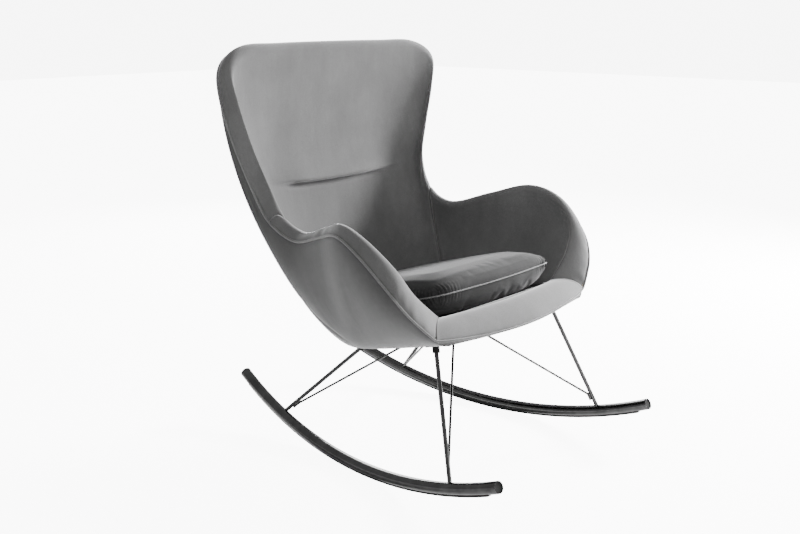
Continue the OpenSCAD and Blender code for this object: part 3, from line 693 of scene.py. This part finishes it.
def make_rail():
    """The front rail: up the front, over the rounded lip and down behind the cushion."""
    vs = np.linspace(RAIL_END, -RAIL_END, 161)
    steps = np.concatenate([np.linspace(0, 1, 14, endpoint=False), np.linspace(1, 2, 40, endpoint=False),
        np.linspace(2, 3, 10)])
    w = np.where(steps < 1, steps, np.where(steps < 2, 1, 3 - steps))
    f = np.where(steps < 1, 0, np.where(steps < 2, steps - 1, 1))
    v_grid, w_grid = np.meshgrid(vs, w, indexing="ij")
    f_grid = np.meshgrid(vs, f, indexing="ij")[1]
    skin = rail(v_grid, w_grid, f_grid)
    lift = unit(np.array([0, -0.25, 1.0]))
    corner = rim_normal(np.array([float(LAST)]))[0]
    side = np.abs(v_grid)[..., None] ** 8
    mirror = np.where(v_grid[..., None] < 0, [-1, 1, 1], [1, 1, 1])
    way = unit(lift * (1 - side) + corner * side * mirror)
    height = roll_height(LAST) + RAIL_CROWN * (1 - v_grid**2)
    skin = skin + way * height[..., None] * (arch(f_grid) * (w_grid >= 1))[..., None]
    core = rail(v_grid, w_grid * 0.86 + 0.02, 0.12 + f_grid * 0.76)
    ends = (RAIL_END - np.abs(v_grid)) * 0.25
    skin = skin + grid_normals(skin) * seam_dip(ends, MITRE, MITRE_WIDTH)[..., None]
    # the rail gets the lighter velvet copy, which paints light onto its front
    obj = closed_sheet("front_rail_pad", skin, core, LIT_RAIL_VELVET, slot="velvet")
    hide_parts("rail_cover", "rail_foam")


# ---- loose seat cushion ----
CUSHION_OVER, CUSHION_FRONT, CUSHION_REAR = 0.016, 0.004, 0.001
SEAM_H = 0.055
CUSHION_SLACK = 0.002
CUSHION_PROFILE = [(0.85, 0.002), (0.94, 0.010), (0.985, 0.030), (1.0, SEAM_H), (0.985, 0.070), (0.94, 0.083),
    (0.84, 0.095), (0.66, 0.103), (0.40, 0.107), (0.14, 0.108)]
CORNER_X, CORNER_IN, CORNER_THINNER = 0.214, 0.022, 0.24
GATHER, GATHER_PITCH = 0.0044, 0.0090
FRONT_BOW = 0.012
CUSHION_CORD_R = 0.0015
VOXEL, QUICK_VOXEL, PUFF = 0.005, 0.006, 0.0030


def cushion_outline(slack, count):
    """The seam's outline in plan, before its front is bowed: a rounded D with soft corners."""
    front, back = DECK_Y - CUSHION_FRONT + slack, DECK_BACK - CUSHION_REAR - slack
    half_w = DECK_HALF + CUSHION_OVER - slack
    x, y = half_d(np.linspace(1, 0, 200), half_w, front, back, CUSHION_POWER)
    line = np.vstack([np.stack([x, y], 1), np.stack([-x, y], 1)[-2::-1], [[x[0], y[0]]]])
    for _ in range(3):
        run = np.concatenate([[0], np.cumsum(np.linalg.norm(np.diff(line, axis=0), axis=1))])
        even = np.linspace(0, run[-1], count, endpoint=False)
        line = np.stack([np.interp(even, run, line[:, k]) for k in range(2)], 1)
        line = smooth_loop(line, 14)
        line = np.vstack([line, line[:1]])
    return line[:-1]


def cornerness(x, y, width=0.060):
    """1 at the two front corners of the cushion, falling to 0 away from them."""
    return np.exp(-(((np.abs(x) - CORNER_X) ** 2 + (y - (DECK_Y + CORNER_IN)) ** 2) / width**2))


def cushion_ring(k, h):
    """The cushion's outline drawn in to k of its size, at height h over the deck."""
    line = cushion_outline(CUSHION_SLACK, 240)
    middle = DECK_Y + DECK_L / 2
    x, y = line[:, 0] * k, middle + (line[:, 1] - middle) * k
    thin = 1 - CORNER_THINNER * cornerness(x, y)
    return xyz(x, y, deck_at(y) + SEAM_H + (h - SEAM_H) * thin)


def close_rings(rings):
    """A solid through rings of points, with a flat face over the first and the last of them."""
    n = len(rings[0])
    faces = ring_faces(len(rings), n)
    faces.append(tuple(range(n - 1, -1, -1)))
    faces.append(tuple((len(rings) - 1) * n + j for j in range(n)))
    return np.vstack(rings), faces


def remesh(obj, voxel):
    modifier = obj.modifiers.new("voxels", "REMESH")
    modifier.mode, modifier.voxel_size = "VOXEL", voxel
    apply_modifiers(obj)


def inflate(obj, cap):
    """Blows the mesh up as cloth, and keeps each point within cap of where it was."""
    rest = vertex_values(obj, "co")
    cloth = obj.modifiers.new("swell", "CLOTH")
    cloth.settings.use_pressure = True
    cloth.settings.uniform_pressure_force = 4.0
    cloth.settings.tension_stiffness = 12
    cloth.settings.compression_stiffness = 12
    cloth.settings.bending_stiffness = 3.0
    cloth.settings.effector_weights.gravity = 0
    frames = 20
    cloth.point_cache.frame_start, cloth.point_cache.frame_end = 1, frames
    for number in range(1, frames + 1):
        SCENE.frame_set(number)
    apply_modifiers(obj)
    moved = vertex_values(obj, "co") - rest
    far = np.linalg.norm(moved, axis=1, keepdims=True)
    set_vertices(obj, rest + moved * np.minimum(1, cap / np.maximum(far, 1e-9)))
    SCENE.frame_set(1)


def apply_modifiers(obj):
    graph = bpy.context.evaluated_depsgraph_get()
    mesh = bpy.data.meshes.new_from_object(obj.evaluated_get(graph))
    obj.modifiers.clear()
    obj.data = mesh


def vertex_values(obj, what):
    """The places ("co") or normals ("normal") of a mesh's vertices."""
    values = np.empty(len(obj.data.vertices) * 3)
    obj.data.vertices.foreach_get(what, values)
    return values.reshape(-1, 3)


def set_vertices(obj, points):
    obj.data.vertices.foreach_set("co", np.asarray(points, np.float32).ravel())
    obj.data.update()


def subdivide(obj):
    obj.modifiers.new("smooth", "SUBSURF").levels = 1
    apply_modifiers(obj)
    obj.data.polygons.foreach_set("use_smooth", [True] * len(obj.data.polygons))


def seam_line():
    """The cushion's seam, as evenly spaced points."""
    line = cushion_outline(0, 420)
    return xyz(line[:, 0], line[:, 1], deck_at(line[:, 1]) + SEAM_H)


def make_cushion():
    """The loose cushion, blown up as cloth, with a gathered seam and its piping."""
    vertices, faces = close_rings([cushion_ring(k, h) for k, h in CUSHION_PROFILE])
    obj = make_mesh("seat_cushion", vertices, faces, CUSHION_VELVET, body=None, slot="velvet")
    remesh(obj, VOXEL)
    inflate(obj, PUFF)
    set_material(obj, CUSHION_VELVET)
    subdivide(obj)
    line = bow_front(seam_line())
    points, normals = bow_front(vertex_values(obj, "co")), vertex_values(obj, "normal")
    tree = KDTree(len(line))
    for i, p in enumerate(line):
        tree.insert(p, i)
    tree.balance()
    found = [tree.find(p) for p in points]
    near = np.array([f[2] for f in found])
    where = np.array([f[1] for f in found])
    along_seam = where * np.linalg.norm(line[1] - line[0])
    shape = seam_dip(near, 0.0026, 0.005) + gathers(points, near, along_seam)
    points = points + normals * shape[:, None]
    floor = deck_at(points[:, 1]) + 0.001
    points[:, 2] = np.maximum(points[:, 2], floor)
    set_vertices(obj, points)
    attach(obj, "cushion")
    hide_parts("cushion_foam", "cushion_top_cover", "cushion_bottom_cover")
    tree = BVHTree.FromObject(obj, bpy.context.evaluated_depsgraph_get())
    path = []
    for p in line:
        place, normal, _, _ = tree.find_nearest(Vector(p))
        path.append(place + normal * 0.0006)
    path = smooth_loop(np.array(path), 6)
    make_cord("cushion_piping", path, CUSHION_CORD_R, sides=10, body="cushion", slot="velvet")


def bow_front(points):
    """The cushion's front edge bows forward between its corners."""
    points = points.copy()
    ahead = 1 - smooth_step(DECK_Y - 0.01, DECK_Y + 0.12, points[:, 1])
    across_x = np.clip(1 - (points[:, 0] / DECK_HALF) ** 2, 0, 1)
    points[:, 1] -= FRONT_BOW * ahead * across_x
    return points


def gathers(points, near, along_seam):
    """Sewn-in pleats where the seam turns the front corners, uneven in height and length."""
    close = cornerness(points[:, 0], points[:, 1], 0.048)
    uneven = ripple(along_seam * 95, 3)
    fade = np.exp(-((near / (0.021 + 0.008 * uneven)) ** 2))
    folds = np.cos(along_seam * 2 * np.pi / GATHER_PITCH + 1.4 * ripple(along_seam * 60, 12))
    return GATHER * folds * (0.75 + 0.35 * uneven) * close * fade


# ---- seat base ----
def base_ring(h, inset):
    """Outline of the seat base at a height above the underside, drawn in by the inset."""
    s = np.linspace(1, 0, 90)
    f = h / BASE_H
    half = under_edge(s) * (1 - f) + deck_edge(s) * f
    ring = np.vstack([half, (half * [-1, 1, 1])[-2::-1]])
    ring = ring - unit(ring * [1, 1, 0]) * inset
    return xyz(ring[:, 0], ring[:, 1], deck_at(ring[:, 1]) - BASE_H + h)


def make_base():
    """The deck pad under its cloth, with a soft edge, and the lining tacked under the board."""
    low = BOARD_TOP / DECK_COS + FIT
    steps = [(low, 0.002), (low + 0.004, 0.0006), (BASE_H - 0.008, 0.0006), (BASE_H - 0.003, 0.002),
        (BASE_H - 0.0012, 0.006), (BASE_H - 0.0006, 0.016), (BASE_H - 0.0004, 0.050),
        (BASE_H - 0.0004, 0.120)]
    vertices, faces = close_rings([base_ring(h, inset) for h, inset in steps])
    pad_top = make_mesh("deck_pad_cloth", vertices, faces, DECK_CLOTH, slot="deck_cloth")
    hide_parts("deck_pad")
    thick = 0.0018
    steps = [(thick, 0.030), (thick, 0.004), (thick - 0.0003, 0.0008), (0.0004, 0.0008), (0.0001, 0.0020),
        (0.0001, 0.0085), (0.0007, 0.0100), (0.0007, 0.030)]
    rings = [base_ring(h, inset) for h, inset in steps]
    vertices, faces = close_rings(rings[::-1])
    lining = make_mesh("underside_cloth", vertices, faces, LINING, slot="lining_fabric")
    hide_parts("underside_lining")


# ---- runners ----
def on_axis(side, length):
    """A point of the runner's centre line, at a length along the arc from the floor contact."""
    a = length / RUNNER_R
    y, z = RUNNER_R * np.sin(a), RUNNER_R * (1 - np.cos(a))
    x = -z * math.sin(LEAN_IN)
    return xyz(side * (TRACK_HALF + x * math.cos(TOE_IN) - y * math.sin(TOE_IN)),
        y * math.cos(TOE_IN) + x * math.sin(TOE_IN), TUBE_R + STRIP_T + z * math.cos(LEAN_IN))


def make_runner(side):
    """A bent tube with a wall, open at its ends, whose lips are slightly rounded."""
    name = "left" if side < 0 else "right"
    lengths = np.linspace(-RUNNER_HALF, RUNNER_HALF, 241)
    path = on_axis(side, lengths)
    tangent = unit(np.gradient(path, axis=0))
    up = unit(np.cross(np.cross(tangent, [0, 0, 1.0]), tangent))
    beside = np.cross(tangent, up)
    angle = np.linspace(0, 2 * np.pi, 48, endpoint=False)
    ring = np.cos(angle)[None, :, None] * up[:, None] + np.sin(angle)[None, :, None] * beside[:, None]
    lip, bore, mouth = 0.0006, TUBE_R - TUBE_WALL, 12

    def at(i, r, back):
        return path[i] + ring[i] * r + tangent[i] * back

    rings = [at(mouth, bore, 0), at(0, bore, lip), at(0, bore + lip, 0), at(0, TUBE_R - lip, 0),
        at(0, TUBE_R, lip)]
    rings += [path[i] + ring[i] * TUBE_R for i in range(1, len(path) - 1)]
    rings += [at(-1, TUBE_R, -lip), at(-1, TUBE_R - lip, 0), at(-1, bore + lip, 0), at(-1, bore, -lip),
        at(-1 - mouth, bore, 0)]
    rings += [path[i] + ring[i] * bore for i in range(len(path) - 2 - mouth, mouth, -1)]
    faces = [(a, d, c, b) for a, b, c, d in ring_faces(len(rings), len(angle), closed=True)]
    obj = make_mesh(f"{name}_runner_tube", np.vstack(rings), faces, CHROME, slot="dark_chrome")
    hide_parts(f"{name}_runner")


make_camera()
make_lights()
make_world()
make_floor()
dress_nodes()
make_outer_cover()
make_pads()
make_welt()
make_rail()
make_base()
make_cushion()
for side_sign in (-1, 1):
    make_runner(side_sign)
